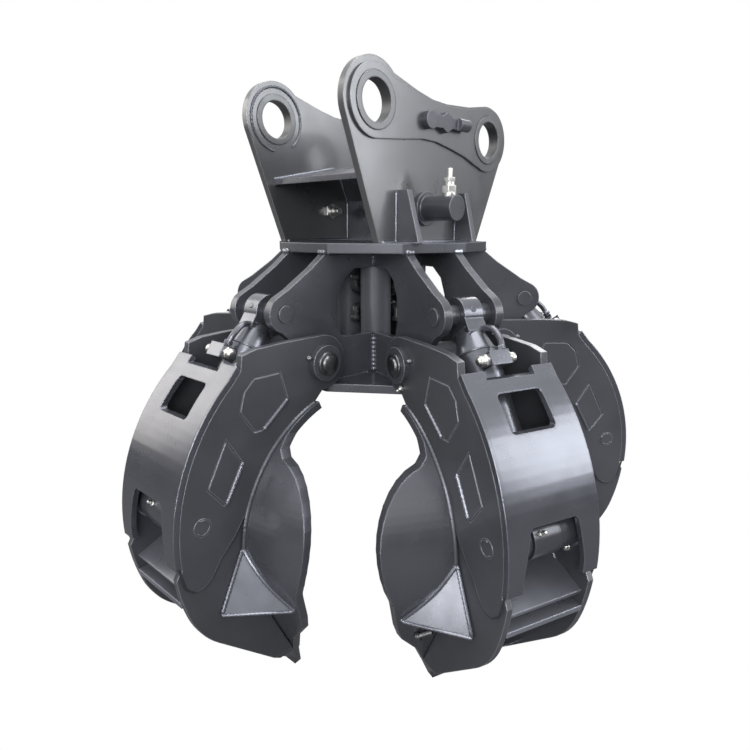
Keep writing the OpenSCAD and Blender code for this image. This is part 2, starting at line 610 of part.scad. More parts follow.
ear_near();
ear_far();
ear_doublers();
pin_bushes();
tie_plate();
ear_gussets();
port_tube();
hub_fittings();
lock_block();
flange();
bottom_plate();
clevis_front();
clevis_right();
clevis_rear();
clevis_left();
clevis_empty();
corner_posts();
pivot_tubes();
swivel_body();
cylinder_pins();
jaw_front_near();
jaw_front_far();
jaw_front_cover();
jaw_front_shell();
jaw_front_webs();
jaw_front_pivot_pin();
jaw_front_rod_pin();
cyl_front_barrel();
cyl_front_ports();
cyl_front_rod();
jaw_right_near();
jaw_right_far();
jaw_right_cover();
jaw_right_shell();
jaw_right_webs();
jaw_right_pivot_pin();
jaw_right_rod_pin();
cyl_right_barrel();
cyl_right_ports();
cyl_right_rod();
jaw_rear_near();
jaw_rear_far();
jaw_rear_cover();
jaw_rear_shell();
jaw_rear_webs();
jaw_rear_pivot_pin();
jaw_rear_rod_pin();
cyl_rear_barrel();
cyl_rear_ports();
cyl_rear_rod();
jaw_left_near();
jaw_left_far();
jaw_left_cover();
jaw_left_shell();
jaw_left_webs();
jaw_left_pivot_pin();
jaw_left_rod_pin();
cyl_left_barrel();
cyl_left_ports();
cyl_left_rod();
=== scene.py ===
import math
import bmesh
import bpy
from bpy.props import FloatProperty, FloatVectorProperty, PointerProperty
from mathutils import Matrix, Vector


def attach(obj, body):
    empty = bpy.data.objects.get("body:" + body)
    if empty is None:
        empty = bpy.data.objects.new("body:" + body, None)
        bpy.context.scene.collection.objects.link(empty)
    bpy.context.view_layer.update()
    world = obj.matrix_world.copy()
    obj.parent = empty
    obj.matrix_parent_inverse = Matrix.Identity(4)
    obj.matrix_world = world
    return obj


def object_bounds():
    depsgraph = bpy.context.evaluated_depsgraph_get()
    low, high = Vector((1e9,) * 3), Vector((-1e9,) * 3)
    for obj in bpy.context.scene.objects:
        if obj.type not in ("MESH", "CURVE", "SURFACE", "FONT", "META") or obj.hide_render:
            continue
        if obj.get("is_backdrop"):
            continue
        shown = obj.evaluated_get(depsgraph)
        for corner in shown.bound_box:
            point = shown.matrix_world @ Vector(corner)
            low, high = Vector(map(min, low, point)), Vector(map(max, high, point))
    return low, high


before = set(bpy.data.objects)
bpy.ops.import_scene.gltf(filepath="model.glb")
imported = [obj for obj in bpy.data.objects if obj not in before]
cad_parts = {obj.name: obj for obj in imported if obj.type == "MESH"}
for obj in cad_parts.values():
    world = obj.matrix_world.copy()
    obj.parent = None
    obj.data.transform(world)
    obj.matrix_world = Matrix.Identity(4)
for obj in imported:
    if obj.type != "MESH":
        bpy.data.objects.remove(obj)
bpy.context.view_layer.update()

bl_info = {
    "name": "Orange-peel grapple dressing",
    "version": (1, 0, 0),
    "blender": (4, 5, 0),
    "location": "3D View > Sidebar > Grapple",
    "description": "Paint, weld beads, unions, pipes and fasteners for a petal grapple",
    "category": "Object",
}

# Lengths are in millimetres up to the calls that make a mesh, and in metres in the shaders and
# on the stage. In a station's plane a place is (outwards from the hub's axis, up from the
# flange's top); on the ears it is (along Y from the hub's axis, up from the flange's top).
MM = 1000

# Places that the pieces share with the solids
HUB_Y, HUB_Z = 186.5, -266.3
STATIONS = {"front": 0, "right": 72, "rear": 144, "left": -72}
EMPTY_STATION = -144
CLEVISES = (*STATIONS.values(), EMPTY_STATION)
HALF_PITCH = 36
PIVOT = Vector((275, -239))
CYL_PIN = Vector((344, -136))
ROD_PIN = Vector((574.92, -499.72))
SIDE_OUT, SIDE_IN = 103, 87
CLEVIS_OUT, CLEVIS_IN = 69, 51
EARS_IN, EAR_FACE = 145, 161
PORT_BLOCK = 102
WING_SLANT = math.radians(12)
WING_LINE_T, WING_LINE_R = SIDE_IN + 2, 455

# Runs of weld on the head
EAR_FOOT = (-168, 160)
EAR_GUSSETS = ((-115, 62), (84, 52))
GUSSET_HALF, GUSSET_TOP = 8, 104
TIE_TOP = ((-200, 139), (-22, 173), (14, 161), (41, 100), (41, 2))
TIE_UNDER = ((-200, 125), (-22, 159), (3, 151), (27, 96), (27, 2))
EAR_BOSSES = ((-HUB_Y, -HUB_Z, 68), (188.4, 229.1, 60))
CLEVIS_TOP = ((104, -21), (232, -21))
CLEVIS_FOOT = ((112, -291), (240, -291))
CLEVIS_CORNER = (238, -18)
POST_R = 117
POST_BEADS = ((-24, -52), (-202, -289))

# Elbows of the swivel: height of an outlet and how far its elbow rises
OUTLETS = ((-110, 34), (-150, -30))
OUTLET_R, ELBOW_START_R, ELBOW_R = 55, 64, 84

# Runs of weld on a jaw
PANEL_BEADS = (((371, -296), (433, -347)), ((482, -398), (524, -474)))
GUSSET_HEAD, GUSSET_FOOT = (494, -575), (548, -695)
GUSSET_TOE = (192, -697)
WING_BEAD_START, WING_BEAD_RUN, WING_BEAD_STEPS = (103, -575), (89, -122), 8
PETAL_BEAD_END, COVER_BEAD_END = -610, -480
INNER_BEAD = ((534, -566), (588, -638))
# The step between the upper and the lower stretch of a side plate, seen from the rod pin
STEP_FROM_PIN = ((-90, -9), (-67, -43), (-33, -78), (-13, -109), (3, -121), (22, -123), (40, -108),
                 (52, -62))


def hub(x, y, z):
    """A point given from the hub's axis and the flange's top, in metres."""
    return Vector((x, y + HUB_Y, z + HUB_Z)) / MM


def at(angle, t, r, z):
    """A point of a station: sideways, outwards and up."""
    a = math.radians(angle)
    return hub(t * math.cos(a) + r * math.sin(a), t * math.sin(a) - r * math.cos(a), z)


def arc(center, r, start, end, steps):
    """Points of an arc between two angles, in a station's plane."""
    turns = [math.radians(start + (end - start) * i / steps) for i in range(steps + 1)]
    return [Vector((center[0] + r * math.cos(a), center[1] + r * math.sin(a))) for a in turns]


def round_of(r, half, first, last):
    """Offsets round a circle, in steps of half a turn divided by half."""
    return [(r * math.cos(k * math.pi / half), r * math.sin(k * math.pi / half))
            for k in range(first, last + 1)]


# The petal's and the cover's outer lines, from the top down
PETAL = (arc((203, -590), 290, 70, 0, 24) + arc((323, -590), 170, 0, -25, 7)[1:]
         + [Vector((329, -965))])
COVER = arc((226, -537), 408, 47, -20, 26)
STEP_LINE = [ROD_PIN + Vector(p) for p in STEP_FROM_PIN]
CYL_DIR = (ROD_PIN - CYL_PIN).normalized()
CYL_OUT = Vector((-CYL_DIR[1], CYL_DIR[0]))


def petal_r(z):
    """How far out the petal's line is at a height."""
    for a, b in zip(PETAL, PETAL[1:]):
        if a[1] >= z >= b[1]:
            return a[0] + (b[0] - a[0]) * (a[1] - z) / (a[1] - b[1])
    return PETAL[-1][0]


def wing(angle, s, t, z, lift=0.0):
    """A point on the outer face of a petal's slanted wing, on side s of the jaw."""
    c, n = math.cos(WING_SLANT), math.sin(WING_SLANT)
    k = WING_LINE_R - petal_r(z)
    u = (t - WING_LINE_T + k * n) / c
    return at(angle, s * t, WING_LINE_R - u * n - k * c + lift, z)


def side_dir(angle):
    """The direction of a station's pins."""
    return Vector((math.cos(math.radians(angle)), math.sin(math.radians(angle)), 0))


def along(angle, s, t=0.0, out=0.0):
    """A point beside a cylinder: s from its pin, t sideways and out from its axis."""
    p = CYL_PIN + CYL_DIR * s + CYL_OUT * out
    return at(angle, t, p[0], p[1])


# Mesh helpers
SAME_PLACE = 1e-6
SHARP_ANGLE = math.radians(40)
CORNER_STEPS = 5


def piece(name, bm, material, body):
    """Makes a visible piece from a mesh and lets it ride on a body."""
    bmesh.ops.remove_doubles(bm, verts=bm.verts, dist=SAME_PLACE)
    bmesh.ops.recalc_face_normals(bm, faces=bm.faces)
    mesh = bpy.data.meshes.new(name)
    bm.to_mesh(mesh)
    bm.free()
    ob = bpy.data.objects.new(name, mesh)
    bpy.context.scene.collection.objects.link(ob)
    mesh.materials.append(material)
    mesh.shade_smooth()
    mesh.set_sharp_from_angle(angle=SHARP_ANGLE)
    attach(ob, body)


def edges_at(verts):
    """The edges at some corners, always in the same order."""
    return list(dict.fromkeys(e for v in verts for e in v.link_edges))


def pose(origin, direction):
    """A matrix whose Z runs along a direction and whose Y stays as upright as it can."""
    z = Vector(direction).normalized()
    upright = abs(z.z) > 0.98
    x = Vector((1, 0, 0) if upright else (0, 0, 1)).cross(z).normalized()
    y = z.cross(x)
    return Matrix.Translation(origin) @ Matrix((x, y, z)).transposed().to_4x4()


def aimed(start, end):
    """A matrix at one point whose Z runs towards another."""
    return pose(start, end - start)


def resample(points, pitch):
    """Points at equal distances along a path."""
    out = [points[0].copy()]
    left = pitch
    for a, b in zip(points, points[1:]):
        d = (b - a).length
        if d < 1e-9:
            continue
        k = left
        while k <= d:
            out.append(a.lerp(b, k / d))
            k += pitch
        left = k - d
    if (out[-1] - points[-1]).length > pitch * 0.3:
        out.append(points[-1].copy())
    return out


def sweep(bm, points, radius, sides=8, ripple=0.0, pitch=None):
    """Draws a round section along a path, ring by ring, with a weld's ripples if asked."""
    pts = resample(points, pitch) if pitch else points
    if len(pts) < 2:
        return
    verts = bmesh.ops.create_circle(bm, segments=sides, radius=radius, cap_ends=True)["verts"]
    edges = edges_at(verts)
    before = Matrix.Identity(4)
    last = len(pts) - 1
    for i, p in enumerate(pts):
        direction = pts[min(i + 1, last)] - pts[max(i - 1, 0)]
        size = 1.0 + ripple * (1 if i % 2 else -1)
        if ripple and i in (0, last):
            size = 0.45
        m = pose(p, direction) @ Matrix.Scale(size, 4)
        if i:
            grown = bmesh.ops.extrude_edge_only(bm, edges=edges)["geom"]
            verts = [g for g in grown if isinstance(g, bmesh.types.BMVert)]
            edges = [g for g in grown if isinstance(g, bmesh.types.BMEdge)]
        bmesh.ops.transform(bm, matrix=m @ before.inverted(), verts=verts)
        before = m
    bmesh.ops.contextual_create(bm, geom=edges)


def weld(bm, points, r, pitch=4.5):
    """A rippled weld bead along a path."""
    sweep(bm, [Vector(p) for p in points], r / MM, sides=7, ripple=0.16, pitch=pitch / MM)


def tube(bm, points, r):
    """A smooth round pipe along a path."""
    sweep(bm, [Vector(p) for p in points], r / MM, sides=14)


def drum(bm, m, r1, r2, h, sides=32, z=0.0, bevel=0.0):
    """A round or many-sided stub from z to z + h along a matrix's Z."""
    mid = m @ Matrix.Translation((0, 0, (z + h / 2) / MM))
    got = bmesh.ops.create_cone(bm, cap_ends=True, segments=sides, radius1=r1 / MM,
                                radius2=r2 / MM, depth=h / MM, matrix=mid)
    if bevel:
        edges = [e for e in edges_at(got["verts"])
                 if len(e.link_faces) == 2 and e.calc_face_angle(0) > 1.0]
        bmesh.ops.bevel(bm, geom=edges, offset=bevel / MM, segments=2, profile=0.5,
                        affect="EDGES", material=-1)


def fillet_path(points, r):
    """Rounds the corners of a path of straight runs."""
    pts = [Vector(p) for p in points]
    out = [pts[0]]
    for a, b, c in zip(pts, pts[1:], pts[2:]):
        u, v = (a - b).normalized(), (c - b).normalized()
        k = min(r / MM, (a - b).length * 0.45, (c - b).length * 0.45)
        p, q = b + u * k, b + v * k
        for i in range(CORNER_STEPS + 1):
            s = i / CORNER_STEPS
            out.append(p.lerp(b, s).lerp(b.lerp(q, s), s))
    return out + [pts[-1]]


def hex_bolt(bm, origin, direction, across):
    """A hexagon head on a washer, of a size across its flats."""
    m = pose(origin, direction)
    washer = 3
    drum(bm, m, across * 0.62, across * 0.62, washer, bevel=0.6)
    drum(bm, m, across * 0.577, across * 0.577, across * 0.42, sides=6, z=washer, bevel=1.2)
    drum(bm, m, across * 0.40, across * 0.36, 1.6, z=washer + across * 0.42)


def nipple(bm, origin, direction):
    """A grease nipple: hexagon, neck and ball."""
    m = pose(origin, direction)
    drum(bm, m, 6.5, 6.5, 5, sides=6, bevel=0.5)
    drum(bm, m, 4.5, 3.0, 5, z=5, sides=20)
    drum(bm, m, 3.0, 4.0, 2, z=10, sides=20)
    drum(bm, m, 4.0, 2.2, 3, z=12, sides=20)


# Material helpers, in metres
EDGE_RADIUS = 0.0034
EDGE_START, EDGE_FULL = 0.985, 0.80
BEND_START, BEND_FULL = 0.992, 0.97
CLOUD_SCALE, GRAIN_SCALE, PEEL_SCALE = 3.5, 18, 420
CHROME_START = -0.046
CHROME = (0.8, 0.8, 0.82, 1)


def node(tree, kind, sockets=None, **values):
    """A shader node. Its sockets take a value or another node's output."""
    n = tree.nodes.new(kind)
    n.location = (180 * len(tree.nodes), 0)
    for key, value in values.items():
        setattr(n, key, value)
    for key, source in (sockets or {}).items():
        if isinstance(source, bpy.types.NodeSocket):
            tree.links.new(source, n.inputs[key])
        else:
            n.inputs[key].default_value = source
    return n


def new_material(name):
    """A material with its node tree and surface node."""
    m = bpy.data.materials.new(name)
    m.use_nodes = True
    return m, m.node_tree, m.node_tree.nodes["Principled BSDF"]


def noise(t, place, scale, detail):
    """Noise on the object's own coordinates."""
    n = node(t, "ShaderNodeTexNoise", {"Vector": place, "Scale": scale, "Detail": detail})
    return n.outputs["Fac"]


def tone(color, k):
    """A colour made lighter or darker, with its alpha."""
    return [min(1, c * k) for c in color] + [1]


def ramp(t, value, dark, light, start=0.0, end=1.0):
    """A colour between two, from a value."""
    n = node(t, "ShaderNodeValToRGB", {"Fac": value})
    for stop, place, color in zip(n.color_ramp.elements, (start, end), (dark, light)):
        stop.position = place
        stop.color = color
    return n.outputs["Color"]


def relief(t, height, strength, distance):
    """A bump from a height."""
    return node(t, "ShaderNodeBump", {"Height": height, "Strength": strength,
                                      "Distance": distance})


def blend_color(t, factor, a, b):
    """A mix of two colours."""
    mix = node(t, "ShaderNodeMix", {"Factor": factor, "A": a, "B": b}, data_type="RGBA")
    return mix.outputs["Result"]


def edge_mask(t, radius, start, full):
    """A bevelled normal, and a mask that grows as it turns away from the true one."""
    soft = node(t, "ShaderNodeBevel", {"Radius": radius}, samples=4)
    true = node(t, "ShaderNodeNewGeometry")
    turn = node(t, "ShaderNodeVectorMath",
                {0: soft.outputs["Normal"], 1: true.outputs["Normal"]}, operation="DOT_PRODUCT")
    mask = node(t, "ShaderNodeMapRange",
                {"Value": turn.outputs["Value"], "From Min": start, "From Max": full})
    return soft.outputs["Normal"], mask.outputs["Result"]


def edge_wear_and_highlight(t, bump, facet=0.0):
    """Rounds the shading at edges and gives a mask of them, where the colour is made lighter,
    partly as wear and partly as a painted highlight. Slight bends are blended wider.
    """
    normal, mask = edge_mask(t, EDGE_RADIUS, EDGE_START, EDGE_FULL)
    if facet:
        wide, sharp = edge_mask(t, facet, BEND_START, BEND_FULL)
        blend = node(t, "ShaderNodeMix", {"Factor": sharp, "A": wide, "B": normal},
                     data_type="VECTOR")
        unit = node(t, "ShaderNodeVectorMath", {0: blend.outputs["Result"]},
                    operation="NORMALIZE")
        normal = unit.outputs["Vector"]
    t.links.new(normal, bump.inputs["Normal"])
    return mask


def enamel(name, color, metallic=0.45, roughness=0.3, coat=0.35, peel=0.02, vary=0.25, dust=0.1,
           edge=2.2, facet=0.0, tip=None):
    """Sprayed paint over steel: faint orange peel, mottling, dull patches, and edges made lighter
    by the factor edge, partly as wear and partly as a painted highlight.
    """
    m, t, b = new_material(name)
    b.inputs["Metallic"].default_value = metallic
    b.inputs["Coat Weight"].default_value = coat
    b.inputs["Coat Roughness"].default_value = 0.12
    place = node(t, "ShaderNodeTexCoord").outputs["Object"]
    paint = ramp(t, noise(t, place, CLOUD_SCALE, 6), tone(color, 1 - vary), tone(color, 1 + vary),
                 start=0.32, end=0.72)
    rough = node(t, "ShaderNodeMapRange",
                 {"Value": noise(t, place, GRAIN_SCALE, 8), "From Min": 0.3, "From Max": 0.75,
                  "To Min": roughness - 0.06, "To Max": roughness + dust}).outputs["Result"]
    t.links.new(rough, b.inputs["Roughness"])
    bump = relief(t, noise(t, place, PEEL_SCALE, 2), peel * 4, 0.0006)
    t.links.new(bump.outputs["Normal"], b.inputs["Normal"])
    wear_and_highlight = edge_wear_and_highlight(t, bump, facet)
    # Edges are lighter by the factor edge, partly as wear and partly as a painted highlight; thin
    # weld beads are lightened all over, a painted highlight
    painted = blend_color(t, wear_and_highlight, paint, tone(color, edge))
    t.links.new(painted, b.inputs["Base Color"])
    if tip:
        chrome_stretch(t, b, place, painted, rough, metallic, *tip)
    return m


def chrome_stretch(t, b, place, painted, rough, metallic, center, direction):
    """Leaves hard chrome on the stretch of a rod before its painted eye."""
    off = node(t, "ShaderNodeVectorMath", {0: place, 1: center}, operation="SUBTRACT")
    reach = node(t, "ShaderNodeVectorMath", {0: off.outputs["Vector"], 1: direction},
                 operation="DOT_PRODUCT")
    chrome = node(t, "ShaderNodeMath", {0: reach.outputs["Value"], 1: CHROME_START},
                  operation="LESS_THAN").outputs[0]
    t.links.new(blend_color(t, chrome, painted, CHROME), b.inputs["Base Color"])
    for name, plain, plated in (("Metallic", metallic, 1.0), ("Roughness", rough, 0.09)):
        mix = node(t, "ShaderNodeMix", {"Factor": chrome, "A": plain, "B": plated},
                   data_type="FLOAT")
        t.links.new(mix.outputs["Result"], b.inputs[name])


def bare_metal(name, color, roughness, scale):
    """Machined or plated metal with fine tool marks."""
    m, t, b = new_material(name)
    b.inputs["Metallic"].default_value = 1.0
    marks = noise(t, node(t, "ShaderNodeTexCoord").outputs["Object"], scale, 5)
    rough = node(t, "ShaderNodeMapRange", {"Value": marks, "To Min": roughness * 0.7,
                                           "To Max": roughness * 1.35})
    t.links.new(rough.outputs["Result"], b.inputs["Roughness"])
    bump = relief(t, marks, 0.08, 0.0004)
    t.links.new(bump.outputs["Normal"], b.inputs["Normal"])
    wear_and_highlight = edge_wear_and_highlight(t, bump)
    metal = ramp(t, marks, tone(color, 0.72), tone(color, 1.15))
    # Edges are lighter, partly as wear and partly as a painted highlight
    t.links.new(blend_color(t, wear_and_highlight, metal, tone(color, 1.5)), b.inputs["Base Color"])
    return m


# Enamels, as lighter and darker copies of the one grey paint: the colour factors are painted light
# and shade, part by part, beside real differences in gloss. Of an enamel: its material, what the
# paint's colour is multiplied by, the rest
ENAMELS = {
    "paint": ("grey_enamel", (1, 1, 1), {"edge": 3.0}),
    "post": ("grey_enamel_post", (0.95, 0.95, 0.95),
             {"metallic": 0.3, "roughness": 0.5, "coat": 0.1}),
    # The barrel is painted lighter, a painted highlight on its barrel and cone
    "barrel": ("grey_enamel_barrel", (1.7, 1.7, 1.7),
               {"metallic": 0.75, "roughness": 0.24, "edge": 2.0}),
    "ear": ("grey_enamel_ear", (1.5, 1.47, 1.34),
            {"metallic": 0.62, "roughness": 0.33, "coat": 0.5, "vary": 0.14, "dust": 0.06}),
    "cover": ("grey_enamel_cover", (1.5, 1.5, 1.5),
              {"metallic": 0.75, "roughness": 0.27, "vary": 0.07, "dust": 0.03,
               "facet": 0.010}),
    "petal": ("grey_enamel_petal", (1.2, 1.2, 1.2),
              {"metallic": 0.6, "roughness": 0.24, "coat": 0.5, "vary": 0.16, "facet": 0.009}),
    "cheek": ("grey_enamel_cheek", (0.88, 0.88, 0.86),
              {"metallic": 0.4, "roughness": 0.34, "edge": 4.0}),
    # Weld beads are painted lighter than the plates, a painted glint; the seams are a dimmer copy
    "weld": ("painted_weld", (2.6, 2.6, 2.6),
             {"metallic": 0.85, "roughness": 0.2, "peel": 0.05, "edge": 1.2}),
    "seam": ("painted_seam", (1.5, 1.5, 1.5),
             {"metallic": 0.6, "roughness": 0.26, "peel": 0.04, "edge": 1.5}),
    # The web is painted lighter for the light on its top face, a painted top light
    "web": ("grey_enamel_web", (2.0, 2.0, 2.0),
            {"metallic": 0.5, "roughness": 0.3, "vary": 0.35}),
}
# A near-black enamel that paints shade: on the swivel's body and elbows in the hub's dark windows,
# and on the step beads of the side plates
PAINTED_SHADE_ENAMEL = (0.03, 0.031, 0.036)
METALS = {
    "bush": ("turned_bush", (0.17, 0.174, 0.18), 0.40, 45),
    "pin": ("pin_steel", (0.25, 0.25, 0.262), 0.30, 70),
    "zinc": ("zinc_plate", (0.78, 0.775, 0.74), 0.36, 90),
}
# What the solids get, by the last word of their names or by the whole name
FINISH_BY_WORD = {"cover": "cover", "shell": "petal", "barrel": "barrel", "ports": "barrel",
                  "webs": "web"}
# The swivel's body gets the near-black enamel, as painted shade
FINISH_BY_NAME = {"pin_bushes": "bush", "hub_fittings": "zinc", "swivel_body": "shade",
                  "ear_near": "ear", "ear_far": "ear", "ear_doublers": "ear",
                  "corner_posts": "post", "pivot_tubes": "post"}
FINISHES = {}


def finish_of(name):
    """The finish of a solid."""
    words = name.split("_")
    if words[-1] in FINISH_BY_WORD:
        return FINISH_BY_WORD[words[-1]]
    if words[-1] == "rod":
        return "rod_" + words[1]
    if words[0] == "jaw" and words[-1] in ("near", "far"):
        return "cheek"
    return FINISH_BY_NAME.get(name, "paint")


class GrappleLook(bpy.types.PropertyGroup):
    """Sizes and colours of the dressing."""
    paint: FloatVectorProperty(name="Paint", description="Colour of the sprayed grey paint",
                               subtype="COLOR", default=(0.098, 0.102, 0.118), min=0, max=1)
    weld_r: FloatProperty(name="Weld size", description="Radius of a main weld bead",
                          default=0.0042, min=0.001, max=0.01, unit="LENGTH")
    pipe_r: FloatProperty(name="Pipe radius", description="Radius of the oil pipe on a cylinder",
                          default=0.0062, min=0.002, max=0.012, unit="LENGTH")
    floor_drop: FloatProperty(name="Floor drop", description="Gap between the tips and the floor",
                              default=0.001, min=0, max=0.5, unit="LENGTH")


class GRAPPLE_OT_paint(bpy.types.Operator):
    """Make the finishes and put them on the solids"""
    bl_idname = "grapple.paint"
    bl_label = "Paint and metal"

    def execute(self, context):
        grey = list(context.scene.grapple_look.paint)
        for key, (name, factors, rest) in ENAMELS.items():
            FINISHES[key] = enamel(name, [v * k for v, k in zip(grey, factors)], **rest)
        FINISHES["shade"] = enamel("painted_shade_enamel", PAINTED_SHADE_ENAMEL, metallic=0.3, roughness=0.42)
        for key, values in METALS.items():
            FINISHES[key] = bare_metal(*values)
        for name, a in STATIONS.items():
            eye = at(a, 0, *ROD_PIN)
            direction = (eye - at(a, 0, *CYL_PIN)).normalized()
            FINISHES["rod_" + name] = enamel("rod_and_eye_" + name, grey, metallic=0.5,
                                             tip=(eye, direction))
        for name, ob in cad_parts.items():
            ob.data.materials.clear()
            ob.data.materials.append(FINISHES[finish_of(name)])
        return {"FINISHED"}


# Pieces of the head
def ear_welds(r):
    """Beads at the feet of the ears and their gussets, and along the tie plate."""
    bm = bmesh.new()
    for s in (-1, 1):
        for x in (EARS_IN - 1, EAR_FACE + 1):
            weld(bm, [hub(s * x, y, 1) for y in EAR_FOOT], r)
        for y, foot in EAR_GUSSETS:
            for e in (-GUSSET_HALF, GUSSET_HALF):
                weld(bm, [hub(s * (EAR_FACE + 1), y + e, z) for z in (2, GUSSET_TOP)], r * 0.7)
                weld(bm, [hub(s * (EAR_FACE + x), y + e, 1) for x in (2, foot - 2)], r * 0.7)
        for line in (TIE_TOP, TIE_UNDER):
            weld(bm, [hub(s * (EARS_IN - 2), *p) for p in line], r * 0.8)
    piece("ear_welds", bm, FINISHES["weld"], "head_and_hub")


def boss_seams():
    """Beads round the bosses on the ears' inner faces."""
    bm = bmesh.new()
    for s in (-1, 1):
        for y, z, r in EAR_BOSSES:
            ring = [hub(s * (EARS_IN - 0.5), y + u, z + v) for u, v in round_of(r, 20, -6, 29)]
            weld(bm, ring, 3.0, pitch=4)
    piece("boss_seams", bm, FINISHES["seam"], "head_and_hub")


def hub_welds(r):
    """Beads of the clevis plates and upright ones where neighbouring plates meet."""
    bm = bmesh.new()
    for a in CLEVISES:
        for s in (-1, 1):
            for t in (CLEVIS_OUT + 1, CLEVIS_IN - 1):
                for run in (CLEVIS_TOP, CLEVIS_FOOT):
                    weld(bm, [at(a, s * t, *p) for p in run], r * 0.9)
            corner = [at(a, s * t, *CLEVIS_CORNER) for t in (CLEVIS_IN - 2, CLEVIS_OUT + 2)]
            weld(bm, corner, 5.5, pitch=5)
        for run in POST_BEADS:
            weld(bm, [at(a + HALF_PITCH, 0, POST_R, z) for z in run], 6.5, pitch=5)
    piece("hub_welds", bm, FINISHES["weld"], "head_and_hub")


def swivel_elbows():
    """Elbows on the swivel's outlets, in the near-black enamel as painted shade."""
    bm = bmesh.new()
    for a in CLEVISES:
        for z, rise in OUTLETS:
            drum(bm, aimed(at(a, 0, OUTLET_R, z), at(a, 0, OUTLET_R + 1, z)), 15, 15, 11, sides=6,
                 bevel=1.0)
            bend = [at(a, 0, ELBOW_START_R, z), at(a, 0, ELBOW_R, z), at(a, 0, ELBOW_R, z + rise)]
            tube(bm, fillet_path(bend, 14), 9.5)
            nut = pose(at(a, 0, ELBOW_R, z + rise * 0.7), Vector((0, 0, 1)) * rise)
            drum(bm, nut, 13, 13, 10, sides=6, bevel=1.0)
    piece("swivel_elbows", bm, FINISHES["shade"], "head_and_hub")


class GRAPPLE_OT_head_welds(bpy.types.Operator):
    """Weld beads of the ears, gussets and hub, and the swivel's elbows"""
    bl_idname = "grapple.head_welds"
    bl_label = "Head welds"

    def execute(self, context):
        r = context.scene.grapple_look.weld_r * MM
        ear_welds(r)
        boss_seams()
        hub_welds(r)
        swivel_elbows()
        return {"FINISHED"}


# Pieces of a jaw
def gusset_beads(bm, a, s, out, r):
    """The three beads round a corner gusset, on side s."""
    foot, toe = at(a, out, *GUSSET_FOOT), wing(a, s, *GUSSET_TOE, 2)
    weld(bm, [at(a, out, *GUSSET_HEAD), foot], r)
    t, z = WING_BEAD_START
    run = [(t + WING_BEAD_RUN[0] * k / WING_BEAD_STEPS, z + WING_BEAD_RUN[1] * k / WING_BEAD_STEPS)
           for k in range(WING_BEAD_STEPS + 1)]
    weld(bm, [wing(a, s, *p, 1.5) for p in run], r)
    weld(bm, [foot, toe], r * 0.8)


def jaw_beads(name, a, r):
    """Bright beads, dull seams, and a near-black bead along the step of each side plate that
    paints the shade in its groove.
    """
    bright, dull, step = bmesh.new(), bmesh.new(), bmesh.new()
    for s in (-1, 1):
        out = s * (SIDE_OUT + 0.6)
        inner = s * (SIDE_IN - 1)
        petal = [at(a, s * (SIDE_OUT + 1.5), p[0] - 1, p[1])
                 for p in PETAL if p[1] > PETAL_BEAD_END]
        weld(dull, petal, r)
        for run in PANEL_BEADS:
            weld(bright, [at(a, out, *p) for p in run], r)
        sweep(step, [at(a, s * (SIDE_OUT - 1.2), *p) for p in STEP_LINE], 2.2 / MM,
              pitch=6 / MM)
        gusset_beads(bright, a, s, out, r)
        cover = [at(a, inner, p[0] - 14, p[1]) for p in COVER if p[1] > COVER_BEAD_END]
        weld(dull, cover, r * 0.8)
        weld(bright, [at(a, inner, *p) for p in INNER_BEAD], r * 0.8)
        pin_end = [at(a, s * (SIDE_OUT + 1.6), ROD_PIN[0] + u, ROD_PIN[1] + v)
                   for u, v in round_of(14, 10, 4, 18)]
        weld(dull, pin_end, 1.6, pitch=2.4)
    body = "jaw_" + name
    piece(body + "_welds", bright, FINISHES["weld"], body)
    piece(body + "_seams", dull, FINISHES["seam"], body)
    piece(body + "_step_beads", step, FINISHES["shade"], body)


def rod_pin_sleeves(name, a):
    """Sleeves that fill the rod pin's ends between the rod's eye and the side plates."""
    bm = bmesh.new()
    for s in (-1, 1):
        m = pose(at(a, s * 31.5, *ROD_PIN), side_dir(a) * s)
        drum(bm, m, 36, 36, 54.5, sides=48, bevel=1.5)
        drum(bm, m, 40, 40, 5, sides=48, z=50, bevel=1.2)
    piece("jaw_%s_sleeves" % name, bm, FINISHES["paint"], "jaw_" + name)


class GRAPPLE_OT_jaw_welds(bpy.types.Operator):
    """Weld beads and rod pin sleeves of the four jaws"""
    bl_idname = "grapple.jaw_welds"
    bl_label = "Jaw welds"

    def execute(self, context):
        for name, a in STATIONS.items():
            jaw_beads(name, a, context.scene.grapple_look.weld_r * MM)
            rod_pin_sleeves(name, a)
        return {"FINISHED"}


def pivot_keepers(name, a):
    """A keeper bolt beside each collar, and the pivot pin's ends with their shoulders."""
    bm = bmesh.new()
    for s in (-1, 1):
        outwards = side_dir(a) * s
        hex_bolt(bm, at(a, s * SIDE_OUT, PIVOT[0] + 41, PIVOT[1] + 15), outwards, across=9)
        m = pose(at(a, s * (SIDE_OUT + 11.5), *PIVOT), outwards)
        drum(bm, m, 25, 25, 5, sides=48, bevel=1.5)
        drum(bm, m, 15, 15, 8.5, sides=32, bevel=1.0)
    piece("jaw_%s_keepers" % name, bm, FINISHES["pin"], "jaw_" + name)


def jaw_nipples(name, a):
    """The pivot's grease nipple under its boss, and the bolt in the lower cut-out."""
    bm = bmesh.new()
    back = side_dir(a) * -1
    nipple(bm, at(a, -SIDE_OUT, PIVOT[0] + 11, PIVOT[1] - 45), back - Vector((0, 0, 0.5)))
    hex_bolt(bm, at(a, SIDE_IN - 1, 576, -544), back, across=13)
    piece("jaw_%s_nipples" % name, bm, FINISHES["zinc"], "jaw_" + name)


